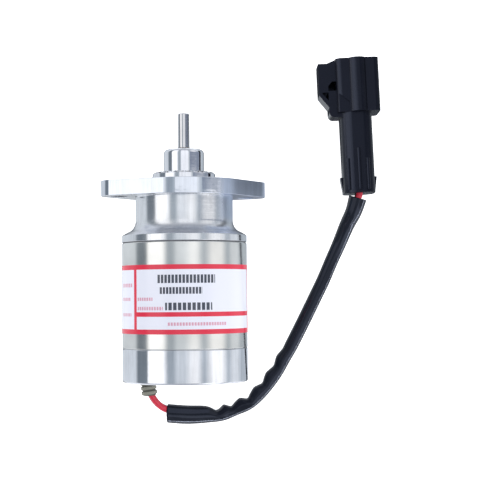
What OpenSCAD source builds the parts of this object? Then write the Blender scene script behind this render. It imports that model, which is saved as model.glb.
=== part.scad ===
// Engine governor actuator: a spring-extended linear solenoid with a two-lug flange,
// a sleeved pair of leads and a sealed two-way connector.
// Each piece is drawn upright, with z along the shaft and z = 0 on the mounting face,
// and is then laid down with its shaft along +Y, as the part lies on a bench.

/* [Body] */
// Outer diameter of the tube, the end cap and the flange rim
body_d = 48.2; // [44:0.1:54]
// Wall of the housing tube
tube_wall = 2.6; // [1.6:0.1:3.4]
// Length of the housing tube
tube_l = 40.2; // [38:0.1:60]
// Height of the end cap below the tube
cap_h = 12.9; // [11.5:0.1:20]
// Floor of the end cap
cap_floor = 6; // [4:0.1:7]
// Rounding of the end cap's lower edge
cap_round = 0.8; // [0.3:0.1:2]
// Thickness of the gasket between the flange rim and the tube
gasket_t = 0.3; // [0.2:0.1:1]
// Length of the spigots that enter the tube at both ends
spigot_l = 4.5; // [3:0.1:6]

/* [Mounting flange] */
// Thickness of the flange plate
flange_t = 6; // [4:0.1:9]
// Inset of the flange's round middle from the outside of the tube
flange_inset = 0.3; // [0:0.1:2]
// Diameter of the bolt circle
bolt_circle_d = 50; // [48:0.1:64]
// Diameter of the mounting holes
bolt_hole_d = 6.6; // [5:0.1:8]
// Diameter of the rounded lug ends
lug_d = 14.8; // [13:0.1:18]
// Roll of the lugs about the shaft as the part lies
lug_roll = 16; // [0:1:30]
// Diameter of the neck below the flange
neck_d = 37.6; // [34:0.1:41]
// Distance from the flange's underside to the lower face of the rim
neck_h = 17.5; // [15.5:0.1:24]
// Height of the rim's round wall
rim_h = 2.6; // [1:0.1:4]
// Height of the flare between the neck and the rim
flare_h = 5.6; // [4.5:0.1:8]
// Radius of the fillet that starts the flare
flare_r = 4.6; // [3:0.1:4.8]
// Angle through which the fillet turns
flare_sweep = 72; // [45:1:80]

/* [Nose] */
// Diameter of the pilot collar that centres the actuator in the engine
pilot_d = 24.3; // [20:0.1:30]
// Height of the pilot collar
pilot_h = 3.4; // [2.5:0.1:6]
// Height of the pilot collar's chamfer
pilot_chamfer = 1.5; // [0.3:0.1:2]
// Width of the pilot collar's chamfer
pilot_bevel = 2.6; // [0.3:0.1:2.8]
// Depth of the pilot collar's seat in the flange
pilot_seat = 0.6; // [0.3:0.1:1.5]
// Depth of the relief at the root of the pilot collar
pilot_relief = 0.3; // [0.2:0.1:0.6]
// Diameter of the nose
nose_d = 15.6; // [12:0.1:18]
// Height of the nose above the pilot collar
nose_h = 9.1; // [7:0.1:16]
// Rounding of the nose's top edge
nose_round = 1; // [0.3:0.1:2]
// Diameter of the shank that seats the nose in the flange
shank_d = 17; // [12:0.1:20]

/* [Rod] */
// Diameter of the output shaft
shaft_d = 4.6; // [3:0.1:6]
// Depth of the groove in the shaft where it leaves the nose at rest
wiper_groove = 0.3; // [0.2:0.05:0.5]
// Length of that groove
wiper_l = 0.5; // [0.3:0.1:1]
// Length of the shaft that stands out of the nose at rest
shaft_out = 14.1; // [12:0.1:30]
// Travel from the sprung-out rest position to full pull-in
stroke = 10; // [4:0.1:12]
// Chamfer of the shaft's tip
tip_chamfer = 0.4; // [0.1:0.1:0.8]
// Diameter of the plunger
plunger_d = 21; // [18:0.1:24]
// Length of the plunger
plunger_l = 22; // [18:0.1:23]
// Thickness of the retaining ring that locates the plunger
clip_t = 0.8; // [0.5:0.1:1.2]
// Depth of the ring's groove in the shaft
clip_groove = 0.45; // [0.2:0.05:0.6]

/* [Bushes] */
// Wall of the two shaft bushes
bush_wall = 1.3; // [0.8:0.1:1.6]
// Length of the two shaft bushes
bush_l = 8; // [5:0.1:9]
// Depth at which the front bush sits below the top of the nose
bush_inset = 0.6; // [0.2:0.1:2]

/* [Solenoid] */
// Thickness of the front plate and of the pole's flange
plate_t = 4; // [3:0.1:5]
// Height of the pole above its flange
pole_h = 9.3; // [9:0.1:11]
// Wall of the brass core tube
core_wall = 0.6; // [0.4:0.1:1]
// Wall of the bobbin's hub
hub_wall = 1.2; // [0.8:0.1:2]
// Thickness of the bobbin's end flanges
bobbin_flange_t = 1.4; // [1:0.1:2]
// Gap between the bobbin's flanges and the tube
coil_room = 1.6; // [1:0.1:2.5]
// Depth of the winding below the rim of the bobbin's flanges
winding_inset = 1; // [0.4:0.1:2]
// Thickness of the bumper washer above the plunger
bumper_t = 1; // [0.6:0.1:2]
// Thickness of the non-magnetic shim on the pole
shim_t = 0.5; // [0.3:0.1:1]

/* [Return spring] */
// Wire of the return spring
spring_wire = 0.9; // [0.6:0.1:1.2]
// Mean diameter of the return spring
spring_d = 8.6; // [7.8:0.1:9]
// Active turns of the return spring
spring_turns = 6; // [4:1:7]
// Depth of the spring's pocket in the plunger
spring_pocket = 8; // [5:0.1:10]
// Depth of the spring's pocket in the pole
pole_pocket = 3.5; // [2:0.1:4]

/* [Label] */
// Distance from the tube's top edge to the label
label_drop = 8.6; // [5:0.1:10]
// Height of the label
label_h = 25.8; // [15:0.1:28]
// Thickness of the label
label_t = 0.12; // [0.08:0.01:0.3]
// Angle of the label's left edge, from straight up, to the left
label_left = 135; // [60:1:150]
// Angle of the label's right edge, from straight up, to the right
label_right = 85; // [40:1:110]

/* [Leads] */
// Diameter of each lead
lead_d = 2.6; // [1.8:0.1:2.8]
// Distance between the two leads where they leave the body
lead_pitch = 2.8; // [2.8:0.1:3.2]
// Distance from the left side of the end cap to the middle of the leads
exit_inset = 9.1; // [8.6:0.1:12]
// Distance between the two leads where they leave the sleeve for the connector
lead_spread = 5.8; // [3:0.1:6]
// Place of the leads on the end cap below the shaft, as the part lies
exit_drop = 7; // [3:0.1:8]
// Width of the grommet
grommet_w = 5.9; // [5.6:0.1:6.4]
// Length of the grommet's snout below the end cap
snout_l = 5.8; // [4:0.1:8]
// Lean of the grommet's snout towards the connector
snout_lean = 8; // [0:1:10]
// Lean of the leads where they leave the snout
lead_lean = 35; // [10:1:40]
// Depth of the grooves between the snout's ribs
snout_groove = 0.5; // [0.2:0.1:0.8]

/* [Connector] */
// Width of the connector's barrel
barrel_w = 12.6; // [12:0.1:16]
// Depth of the connector's barrel
barrel_d = 16.5; // [16:0.1:18]
// Rounding of the barrel's corners
barrel_r = 5; // [3:0.1:5.8]
// Length of the barrel behind the hood
barrel_l = 30.8; // [25:0.1:40]
// Width of the hood round the pins
hood_w = 17; // [16:0.1:20]
// Depth of the hood round the pins
hood_d = 18; // [17:0.1:22]
// Length of the hood
hood_l = 21.2; // [20:0.1:28]
// Wall of the hood
hood_wall = 1.5; // [1.2:0.1:2]
// Rounding of the hood's corners
hood_r = 2.4; // [1.8:0.1:4]
// Thickness of the hood's floor
hood_floor = 4; // [2.5:0.1:6]
// Sideways shift of the hood from the barrel
hood_shift = 1.1; // [0:0.1:2]
// Width of the half-round keyway on the hood
keyway_w = 7.1; // [5:0.1:8]
// Height of the keyway above the hood
keyway_h = 2; // [1:0.1:3]
// Distance from the hood's side to the outside of the lock guard
guard_reach = 6.8; // [6:0.1:10]
// Wall of the lock guard
guard_wall = 1.3; // [1:0.1:1.6]
// Depth of the lock guard
guard_d = 12; // [10:0.1:14]
// Length of the lock guard's pocket
guard_pocket = 10.9; // [8:0.1:12]
// Distance from the hood's mouth to the guard's edge
guard_drop = 1.5; // [1.4:0.1:5]
// Length of the block below the guard's pocket
guard_block = 10.5; // [9:0.1:13]
// Gap between the guard's outer wall and that block
guard_gap = 2.4; // [1.5:0.1:3]
// Length of the window in the guard's upper plate
guard_window = 3.7; // [2.5:0.1:6]
// Distance between the two terminals
pin_pitch = 6; // [5.8:0.1:7]
// Width of the terminals' blades
blade_w = 2.8; // [2:0.1:3]
// Thickness of the terminals' blades
blade_t = 0.8; // [0.6:0.1:1]
// Length of the blades inside the hood
blade_l = 12; // [8:0.1:15]
// Diameter of the terminals' barrels
terminal_d = 3.2; // [2.8:0.1:3.6]
// Length of the wire seals
seal_l = 8; // [5:0.1:10]
// Diameter of the wire seals
seal_d = 5.4; // [4.6:0.1:5.6]
// Thickness of the seal cover at the back of the barrel
cover_t = 1.2; // [0.8:0.1:2]
// Height of the ribs on the rear of the barrel
rib_h = 0.8; // [0.3:0.1:0.8]
// Length of the outer ribs on the rear of the barrel
rib_l = 12.3; // [8:0.1:16]

/* [Fits] */
// Radial clearance of the shaft in its bushes
running = 0.03; // [0.02:0.01:0.08]
// Clearance of pieces that slip into each other and stay
slip = 0.05; // [0.03:0.01:0.1]
// Clearance round the moving plunger and the shaft outside its bushes
free_gap = 0.3; // [0.2:0.05:0.5]

/* [Hidden] */
$fn = 96;
arc_steps = 10;
over = 1;

// Stations along the shaft, from the mounting face
z_under = -flange_t;
z_rim = z_under - neck_h;
z_tube_top = z_rim - gasket_t;
z_tube_end = z_tube_top - tube_l;
z_base = z_tube_end - cap_h;
z_front_plate = z_rim - spigot_l;
z_coil_top = z_front_plate - plate_t;
z_pole_base = z_tube_end + spigot_l;
z_coil_end = z_pole_base + plate_t;
z_pole_top = z_coil_end + pole_h;
z_nose_top = pilot_h + nose_h;
z_tip = z_nose_top + shaft_out;
z_wiper = z_nose_top + 0.2;
// The plunger lands on the shim at full pull-in, with a hair's room
landing = 0.05;
z_plunger_end = z_pole_top + shim_t + landing + stroke;
z_plunger_top = z_plunger_end + plunger_l;
z_bumper_top = z_plunger_top + landing + bumper_t;
clip_recess = clip_t + 0.8;
z_clip = z_plunger_top - clip_recess;
spring_top = z_plunger_end + spring_pocket;
spring_end = z_pole_top - pole_pocket;
tail_out = 3;
z_tail = z_pole_base - tail_out;
z_tail_pocket = z_tail - stroke - 1.2;

// Radii about the shaft
body_r = body_d / 2;
bore_r = body_r - tube_wall;
seat_r = bore_r - slip;
neck_r = neck_d / 2;
shaft_r = shaft_d / 2;
bush_r = shaft_r + running + bush_wall;
shaft_way_r = shaft_r + free_gap;
plunger_r = plunger_d / 2;
core_r = plunger_r + free_gap;
hub_r = core_r + core_wall + slip;
winding_r = hub_r + hub_wall;
bobbin_r = bore_r - coil_room;
pocket_r = (spring_d + spring_wire) / 2 + 0.4;
cap_room_r = bore_r - 3;
clip_r = shaft_r + 2.2;
seam_inset = 0.5;
edge_break = 0.3;

// Outline of the flange plate: where the straight sides meet the middle and the lugs
flange_r = body_r - flange_inset;
lug_r = lug_d / 2;
lug_at = bolt_circle_d / 2;
side_angle = acos((flange_r - lug_r) / lug_at);

// Grommet and leads
exit_side = body_r - exit_inset;
lead_r = lead_d / 2;
grommet_r = grommet_w / 2;
snout_ribs = 3;
snout_end = [-exit_side + snout_l * tan(snout_lean), z_base - snout_l, -exit_drop];

// Route of the sleeve: x, y and height above the bench of its middle, its width and its height.
// It starts beside the end cap, comes down to the bench and runs to the connector.
sleeve_route = [
    [-7.5, -90.2, 12.1, 7.3, 6.8], [0, -91.1, 8.6, 7.3, 6.8], [8, -91.2, 5.6, 6.8, 6.6],
    [14, -91.1, 3.9, 5.8, 6.4], [19, -89.4, 3.1, 5.4, 6.1], [24, -87.3, 3.1, 5.4, 6.1],
    [28.2, -83.9, 3.1, 5.4, 6.1], [32.1, -79.5, 3.1, 5.4, 6.1], [35.6, -74.7, 3.1, 5.4, 6.1],
    [38.7, -69.3, 3.1, 5.4, 6.1], [41.9, -63.9, 3.1, 5.4, 6.1], [47, -54, 3.1, 5.4, 6.1],
    [51, -46, 3.1, 5.4, 6.1], [54.7, -38.5, 3.1, 5.4, 6.1], [58, -31, 3.1, 5.4, 6.1],
    [61.4, -23.5, 3.7, 5.6, 6.3], [64.3, -16.5, 5.8, 6, 7], [66.9, -11, 8.3, 6.6, 8.2],
    [68.6, -5.6, 9, 7.2, 9.2]
];
sleeve_sides = 12;
lead_sides = 8;
lead_steps = 6;
// The leads stop this far from the sleeve's flat ends
lead_stop = 0.3;
// They lie this far aside in the sleeve's wide first end, and this far apart
lead_aside = 1.7;
mouth_pitch = 3.2;
bench = -body_r;
route = [for (s = sleeve_route) [s[0], s[1], bench + s[2]]];

// Connector: its place on the bench, and stations along its own axis from the back
connector_at = [69.05, -4, bench + hood_d / 2];
connector_turn = 2.2;
w_shell = cover_t;
w_hood = w_shell + barrel_l;
w_mouth = w_hood + hood_l;
w_floor = w_hood + hood_floor;
w_seal = w_shell + seal_l;
w_guard = w_mouth - guard_drop;
w_block = w_guard - guard_pocket;
w_block_end = w_block - guard_block;
hood_left = hood_shift - hood_w / 2;
guard_left = hood_left - guard_reach;
block_left = guard_left + guard_wall + guard_gap;
guard_inner = hood_left + hood_wall;
guard_back = guard_d / 2;
// Where the guard's outer wall turns in, and where it meets the block
w_guard_turn = w_block - 1.7;
w_guard_foot = w_block - 6.6;
// The guard's edge is level for a way, and then rises to the hood
guard_level = 3.5;
guard_rise = 1.3;
block_r = 2;
// Step in the upper face of the hood, along a slanting line on its left
hood_step = 0.6;
step_from = 8;
step_to = 3.8;
rib_r = 0.7;
tab_out = 0.9;
tab_d = 5;
tab_l = 6.5;

// Points of an arc about c, from angle a to angle b
function arc(c, r, a, b) = [
    for (i = [0 : arc_steps]) c + r * [cos(a + (b - a) * i / arc_steps), sin(a + (b - a) * i / arc_steps)]
];

// Sweeps: the direction of a route at one of its points
function way(p, i) =
    let (d = p[min(i + 1, len(p) - 1)] - p[max(i - 1, 0)]) d / norm(d);
// A level direction across the route
function across(d) = let (c = cross(d, [0, 0, 1])) c / norm(c);
// Points of one oval ring
function ring(c, d, half_w, half_h, sides) =
    let (s = across(d), u = upward(d))
    [for (k = [0 : sides - 1]) c + s * half_w * cos(360 * k / sides) + u * half_h * sin(360 * k / sides)];
// A direction across the route that is as upright as it can be
function upward(d) = cross(across(d), d);
// A smooth curve that leaves p along d and reaches q along e, at t from 0 to 1
function bend(p, d, q, e, t) =
    let (k = 0.4 * norm(q - p), u = 1 - t)
    u * u * (u * p + 3 * t * (p + k * d)) + t * t * (t * q + 3 * u * (q - k * e));
// The direction of that curve
function bend_way(p, d, q, e, t) =
    let (v = bend(p, d, q, e, t + 0.01) - bend(p, d, q, e, t - 0.01))
    t == 0 ? d : t == 1 ? e : v / norm(v);
// A point in the connector's own axes, placed on the bench
function on_connector(p) = connector_at + [
    p[0] * cos(connector_turn) - p[2] * sin(connector_turn),
    p[0] * sin(connector_turn) + p[2] * cos(connector_turn),
    -p[1]
];

// Skins a row of rings, all with the same number of points
module skin(rings) {
    n = len(rings[0]);
    m = len(rings);
    sides = [
        for (j = [0 : m - 2]) for (k = [0 : n - 1])
            [j * n + k, j * n + (k + 1) % n, (j + 1) * n + (k + 1) % n, (j + 1) * n + k]
    ];
    ends = [[for (k = [n - 1 : -1 : 0]) k], [for (k = [0 : n - 1]) (m - 1) * n + k]];
    polyhedron(points = [for (r = rings) each r], faces = concat(sides, ends), convexity = 8);
}

// Lays a piece that was drawn upright down on the bench
module lay() {
    rotate([-90, 0, 0]) children();
}

module on_bench() {
    translate(connector_at) rotate([0, 0, connector_turn]) lay() children();
}

// A ring from z0 up to z1
module washer(inner, outer, z0, z1) {
    translate([0, 0, z0]) difference() {
        cylinder(r = outer, h = z1 - z0);
        translate([0, 0, -over]) cylinder(r = inner, h = z1 - z0 + 2 * over);
    }
}

module rounded_bar(w, d, r, h) {
    linear_extrude(h) {
        square([w - 2 * r, d], center = true);
        square([w, d - 2 * r], center = true);
        for (x = [-1, 1], y = [-1, 1])
            translate([x * (w / 2 - r), y * (d / 2 - r)]) circle(r);
    }
}

// An oval with round ends, long across the two leads
module oval(r, h) {
    for (s = [-1, 1]) translate([0, s * lead_pitch / 2, 0]) cylinder(r = r, h = h);
    translate([-r, -lead_pitch / 2, 0]) cube([2 * r, lead_pitch, h]);
}

// Flange, neck, flare, rim and spigot, turned and milled from one bar
module mount_flange() {
    fillet_at = [neck_r + flare_r, z_rim + rim_h + flare_h];
    color("gainsboro") lay() difference() {
        union() {
            rotate_extrude() polygon(concat(
                [[0, z_under / 2], [neck_r, z_under / 2]],
                arc(fillet_at, flare_r, 180, 180 + flare_sweep),
                [[body_r, z_rim + rim_h], [body_r, z_rim], [seat_r, z_rim], [seat_r, z_front_plate]],
                [[0, z_front_plate]]
            ));
            rotate([0, 0, lug_roll]) translate([0, 0, z_under]) flange_plate();
        }
        translate([0, 0, z_front_plate - over])
            cylinder(r = core_r, h = z_bumper_top - z_front_plate + over);
        translate([0, 0, z_bumper_top - over])
            cylinder(r = shank_d / 2 + slip, h = over - z_bumper_top + over);
        translate([0, 0, -pilot_seat]) cylinder(r = pilot_d / 2 + slip, h = pilot_seat + over);
    }
}

// The two-lug plate: a round middle, two lug ends and the straight sides between them
module flange_plate() {
    side = [cos(side_angle), sin(side_angle)];
    difference() {
        linear_extrude(flange_t) {
            circle(flange_r);
            for (s = [0, 180]) rotate(s) {
                translate([lug_at, 0]) circle(lug_r);
                polygon([
                    [0, 0], flange_r * side, [lug_at, 0] + lug_r * side,
                    [lug_at + lug_r * side[0], -lug_r * side[1]], [flange_r * side[0], -flange_r * side[1]]
                ]);
            }
        }
        for (s = [-1, 1]) translate([s * lug_at, 0, -over])
            cylinder(d = bolt_hole_d, h = flange_t + 2 * over);
    }
}

// Pilot collar, nose and shank in one turning, bored for the front bush
module nose_guide() {
    nose_r = nose_d / 2;
    pilot_r = pilot_d / 2;
    root_r = pilot_r - pilot_relief;
    bush_top = z_nose_top - bush_inset;
    color("whitesmoke") lay() difference() {
        rotate_extrude() polygon(concat(
            [[0, z_bumper_top], [shank_d / 2, z_bumper_top], [shank_d / 2, -pilot_seat]],
            [[root_r, -pilot_seat], [root_r, 0], [pilot_r, 0]],
            [[pilot_r, pilot_h - pilot_chamfer], [pilot_r - pilot_bevel, pilot_h], [nose_r, pilot_h]],
            arc([nose_r - nose_round, z_nose_top - nose_round], nose_round, 0, 90),
            [[0, z_nose_top]]
        ));
        translate([0, 0, z_bumper_top - over])
            cylinder(r = shaft_way_r, h = z_nose_top - z_bumper_top + 2 * over);
        translate([0, 0, bush_top - bush_l]) cylinder(r = bush_r + slip, h = bush_l + bush_inset + over);
    }
}

module front_bush() {
    bush_top = z_nose_top - bush_inset;
    color("darkgoldenrod") lay() washer(shaft_r + running, bush_r, bush_top - bush_l, bush_top);
}

// Plated steel tube with its outer edges broken
module housing_tube() {
    color("silver") lay() rotate_extrude() polygon([
        [bore_r, z_tube_end], [body_r - edge_break, z_tube_end], [body_r, z_tube_end + edge_break],
        [body_r, z_tube_top - edge_break], [body_r - edge_break, z_tube_top], [bore_r, z_tube_top]
    ]);
}

module seam_gasket() {
    color("dimgray") lay() washer(bore_r, body_r - seam_inset, z_tube_top, z_rim);
}

// Turned cap: a spigot in the tube, room for the lead joints and a pocket for the shaft's tail
module end_cap() {
    color("whitesmoke") lay() difference() {
        rotate_extrude() polygon(concat(
            [[0, z_base]],
            arc([body_r - cap_round, z_base + cap_round], cap_round, -90, 0),
            [[body_r, z_tube_end - edge_break], [body_r - edge_break, z_tube_end]],
            [[seat_r, z_tube_end], [seat_r, z_pole_base], [cap_room_r, z_pole_base]],
            [[cap_room_r, z_base + cap_floor], [0, z_base + cap_floor]]
        ));
        translate([0, 0, z_tail_pocket]) cylinder(r = shaft_way_r + 1, h = z_pole_base - z_tail_pocket);
        translate([-exit_side, exit_drop, z_base - over]) oval(grommet_r, cap_floor + 2 * over);
    }
}

// Printed label, wrapped round the tube
module rating_label() {
    color("white") lay() rotate([0, 0, -90 - label_left])
        rotate_extrude(angle = label_left + label_right)
            translate([body_r + slip, z_tube_top - label_drop - label_h]) square([label_t, label_h]);
}

module front_plate() {
    color("slategray") lay() washer(core_r, seat_r, z_coil_top, z_front_plate);
}

module core_tube() {
    color("goldenrod") lay() washer(core_r, core_r + core_wall, z_coil_end, z_coil_top);
}

module coil_bobbin() {
    color("ivory") lay() difference() {
        union() {
            washer(hub_r, winding_r, z_coil_end, z_coil_top);
            washer(hub_r, bobbin_r, z_coil_end, z_coil_end + bobbin_flange_t);
            washer(hub_r, bobbin_r, z_coil_top - bobbin_flange_t, z_coil_top);
        }
    }
}

module coil_winding() {
    color("peru") lay() washer(
        winding_r + slip, bobbin_r - winding_inset,
        z_coil_end + bobbin_flange_t, z_coil_top - bobbin_flange_t
    );
}

// Fixed pole: a flange in the tube and a core in the coil, bored for the spring and the rear bush
module pole_piece() {
    color("slategray") lay() difference() {
        union() {
            translate([0, 0, z_pole_base]) cylinder(r = seat_r, h = plate_t);
            translate([0, 0, z_pole_base]) cylinder(r = core_r - slip, h = plate_t + pole_h);
        }
        translate([0, 0, spring_end]) cylinder(r = pocket_r, h = pole_pocket + over);
        translate([0, 0, z_pole_base - over]) cylinder(r = shaft_way_r, h = plate_t + pole_h + over);
        translate([0, 0, z_pole_base - over]) cylinder(r = bush_r + slip, h = bush_l + over);
    }
}

module pole_shim() {
    color("gold") lay() washer(pocket_r, core_r - 2 * slip, z_pole_top, z_pole_top + shim_t);
}

module rear_bush() {
    color("darkgoldenrod") lay() washer(shaft_r + running, bush_r, z_pole_base, z_pole_base + bush_l);
}

module bumper_washer() {
    color("black") lay() washer(clip_r + free_gap, plunger_r, z_bumper_top - bumper_t, z_bumper_top);
}

// Helical spring with a closed turn at each end
module return_spring() {
    wire_r = spring_wire / 2;
    per_turn = 14;
    closed = 1.06 * spring_wire;
    turns = spring_turns + 2;
    free_l = spring_top - spring_end - spring_wire - 2 * closed;
    coil_r = spring_d / 2;
    function rise(t) =
        t < 1 ? closed * t
        : t > turns - 1 ? closed + free_l + closed * (t - turns + 1)
        : closed + free_l * (t - 1) / spring_turns;
    function at(t) = [coil_r * cos(360 * t), coil_r * sin(360 * t), spring_end + wire_r + rise(t)];
    stations = [for (i = [0 : turns * per_turn]) at(i / per_turn)];
    color("lightgray") lay() skin([
        for (i = [0 : len(stations) - 1]) ring(stations[i], way(stations, i), wire_r, wire_r, lead_sides)
    ]);
}

// Ground shaft in one turning, with a groove for the retaining ring and one where it leaves the nose
module output_shaft() {
    ring_root = shaft_r - clip_groove;
    ring_top = z_clip + clip_t + slip;
    wiper_root = shaft_r - wiper_groove;
    wiper_top = z_wiper + wiper_l;
    color("lightgray") lay() rotate_extrude() polygon([
        [0, z_tail], [shaft_r, z_tail],
        [shaft_r, z_clip], [ring_root, z_clip], [ring_root, ring_top], [shaft_r, ring_top],
        [shaft_r, z_wiper], [wiper_root, z_wiper], [wiper_root, wiper_top], [shaft_r, wiper_top],
        [shaft_r, z_tip - tip_chamfer], [shaft_r - tip_chamfer, z_tip], [0, z_tip]
    ]);
}

module plunger() {
    color("gray") lay() difference() {
        translate([0, 0, z_plunger_end]) cylinder(r = plunger_r, h = plunger_l);
        translate([0, 0, z_plunger_end - over]) cylinder(r = shaft_r, h = plunger_l + 2 * over);
        translate([0, 0, z_clip]) cylinder(r = clip_r + free_gap, h = clip_recess + over);
        translate([0, 0, z_plunger_end - over]) cylinder(r = pocket_r, h = spring_pocket + over);
    }
}

// Open retaining ring
module plunger_clip() {
    color("dimgray") lay() difference() {
        washer(shaft_r - clip_groove + slip, clip_r, z_clip, z_clip + clip_t);
        translate([0, -shaft_r * 0.7, z_clip - over]) cube([clip_r + over, shaft_r * 1.4, clip_t + 2 * over]);
    }
}

// Rubber grommet: a shank in the cap and a leaning, ribbed snout
module lead_grommet() {
    rib_step = snout_l / snout_ribs;
    root = 2;
    color("darkkhaki") lay() translate([-exit_side, exit_drop, z_base]) {
        oval(grommet_r - slip, cap_floor);
        difference() {
            rotate([0, 180 - snout_lean, 0]) {
                translate([0, 0, -root]) oval(grommet_r - snout_groove, snout_l / cos(snout_lean) + root);
                for (i = [0 : snout_ribs - 1])
                    translate([0, 0, i * rib_step + rib_step * 0.15]) oval(grommet_r, rib_step * 0.6);
            }
            translate([-grommet_w, -grommet_w - lead_pitch, 0])
                cube([2 * grommet_w, 2 * (grommet_w + lead_pitch), 2 * root]);
            translate([-grommet_w, -grommet_w - lead_pitch, -snout_l - 2 * root])
                cube([2 * grommet_w, 2 * (grommet_w + lead_pitch), 2 * root]);
        }
    }
}

// One lead in two stretches: from the grommet to the sleeve, and from the sleeve into its seal.
// side is 1 for the upper lead and -1 for the lower one.
module lead(side) {
    last = len(route) - 1;
    start_way = [sin(lead_lean), -cos(lead_lean), 0];
    start_gap = (lead_r * sin(lead_lean) + lead_stop) / cos(lead_lean);
    mouth_way = way(route, 0);
    tail_way = way(route, last);
    back = on_connector([0, -side * pin_pitch / 2, -lead_stop]);
    back_way = on_connector([0, 0, 1]) - connector_at;
    mouth = route[0] - across(mouth_way) * lead_aside + upward(mouth_way) * side * mouth_pitch / 2;
    tail = route[last] + upward(tail_way) * side * lead_spread / 2;
    lead_run(
        snout_end + [0, 0, side * lead_pitch / 2] + start_way * start_gap, start_way,
        mouth - mouth_way * lead_stop, mouth_way, []
    );
    lead_run(tail + tail_way * lead_stop, tail_way, back, back_way, [back + back_way * w_seal]);
}

// A lead that leaves p along d and reaches q along e, and runs straight on to the points of onward
module lead_run(p, d, q, e, onward) {
    skin(concat(
        [
            for (i = [0 : lead_steps]) let (t = i / lead_steps)
                ring(bend(p, d, q, e, t), bend_way(p, d, q, e, t), lead_r, lead_r, lead_sides)
        ],
        [for (c = onward) ring(c, e, lead_r, lead_r, lead_sides)]
    ));
}

module red_lead() {
    color("crimson") lead(1);
}

module black_lead() {
    color("black") lead(-1);
}

// Soft sleeve, flattened where it bends
module lead_sleeve() {
    color("black") skin([
        for (i = [0 : len(route) - 1])
            ring(route[i], way(route, i), sleeve_route[i][3] / 2, sleeve_route[i][4] / 2, sleeve_sides)
    ]);
}

// Moulded shell: barrel, hood with keyway, and lock guard
module connector_shell() {
    color("dimgray") on_bench() difference() {
        union() {
            translate([0, 0, w_shell]) rounded_bar(barrel_w, barrel_d, barrel_r, barrel_l + hood_floor / 2);
            translate([hood_shift, 0, w_hood]) hood_body();
            lock_guard();
            barrel_ribs();
        }
        translate([hood_shift, 0, w_floor]) hood_cavity();
        for (s = [-1, 1]) translate([0, s * pin_pitch / 2, w_shell - over]) {
            cylinder(d = seal_d + 2 * slip, h = seal_l + over);
            cylinder(d = terminal_d + 2 * slip, h = w_floor - w_shell + 2 * over);
        }
    }
}

module hood_body() {
    left = -hood_w / 2;
    difference() {
        rounded_bar(hood_w, hood_d, hood_r, hood_l);
        plate_between(-hood_d / 2 - over, -hood_d / 2 + hood_step, [
            [left - over, -over], [left - over, step_from], [left, step_from],
            [-keyway_w / 2, step_to], [-keyway_w / 2, -over]
        ]);
    }
    keyway_rise(keyway_w / 2, 0, hood_l);
}

// The room round the pins, with the keyway open into it
module hood_cavity() {
    room = hood_l - hood_floor + over;
    rounded_bar(hood_w - 2 * hood_wall, hood_d - 2 * hood_wall, hood_r - hood_wall, room);
    keyway_rise(keyway_w / 2 - hood_wall, hood_wall, room);
}

// Half-round rise on the upper side of the hood, running down to the hood's middle
module keyway_rise(r, inset, h) {
    top = hood_d / 2 + keyway_h - inset;
    translate([0, r - top, 0]) cylinder(r = r, h = h);
    translate([-r, r - top, 0]) cube([2 * r, top - r - hood_wall, h]);
}

// Guard round the lock: a tunnel of an outer wall and two plates, and the block below its pocket
module lock_guard() {
    turn = [guard_left, w_guard_turn];
    foot = [block_left, w_guard_foot];
    // Outlines are x and the station along the connector
    edge = [[guard_inner, w_guard + guard_rise], [hood_left, w_guard + guard_rise],
        [guard_left + guard_level, w_guard], [guard_left, w_guard]];
    plate_between(-guard_back, guard_back, [
        [guard_left, w_guard], turn, foot, foot + [guard_wall, guard_wall],
        turn + [guard_wall, guard_wall / 2], [guard_left + guard_wall, w_guard]
    ]);
    plate_between(guard_back - guard_wall, guard_back, concat(edge, [turn, foot, [guard_inner, foot[1]]]));
    difference() {
        plate_between(-guard_back, guard_wall - guard_back, concat(
            edge, [[guard_left, w_block - hood_step], [guard_inner, w_block - hood_step]]
        ));
        plate_between(-guard_back - over, guard_wall - guard_back + over, [
            [block_left, w_block], [block_left, w_block + guard_window / 2],
            [(block_left + hood_left) / 2, w_block + guard_window],
            [hood_left, w_block + guard_window], [hood_left, w_block]
        ]);
    }
    plate_between(-guard_back, guard_back, concat(
        [[block_left, w_block], [block_left, w_block_end + block_r]],
        arc([block_left + block_r, w_block_end + block_r], block_r, 180, 270),
        [[0, w_block_end], [0, w_hood], [guard_inner, w_hood], [guard_inner, w_block], [hood_left, w_block]]
    ));
}

// A plate that lies between two depths, from its outline in x and along the connector
module plate_between(near, far, outline) {
    translate([0, far, 0]) rotate([90, 0, 0]) linear_extrude(far - near) polygon(outline);
}

// Stiffening ribs on the rear of the barrel, the middle one longer
module barrel_ribs() {
    flat = barrel_w / 2 - barrel_r;
    for (rib = [[-4.2, rib_l], [0, rib_l + 4], [3.4, rib_l]]) {
        side = max(abs(rib[0]) - flat, 0);
        face = barrel_d / 2 - barrel_r + sqrt(barrel_r * barrel_r - side * side);
        translate([rib[0], -face + rib_r - rib_h, w_shell]) cylinder(r = rib_r, h = rib[1]);
    }
}

// Cover that keeps the wire seals in, with a wedge-shaped latch tab on each side
module seal_cover() {
    color("dimgray") on_bench() {
        difference() {
            rounded_bar(barrel_w, barrel_d, barrel_r, cover_t);
            for (s = [-1, 1]) translate([0, s * pin_pitch / 2, -over])
                cylinder(d = lead_d + 2 * free_gap, h = cover_t + 2 * over);
        }
        for (s = [-1, 1]) {
            wall = s * (barrel_w / 2 + slip);
            plate_between(-tab_d / 2, tab_d / 2, [
                [wall - s * 1.5, 0], [wall, 0], [wall + s * tab_out, tab_l], [wall, tab_l],
                [wall, cover_t], [wall - s * 1.5, cover_t]
            ]);
        }
    }
}

module wire_seals() {
    color("gray") on_bench() for (s = [-1, 1]) translate([0, s * pin_pitch / 2, 0])
        washer(lead_r + slip, seal_d / 2, w_shell, w_seal);
}

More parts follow.
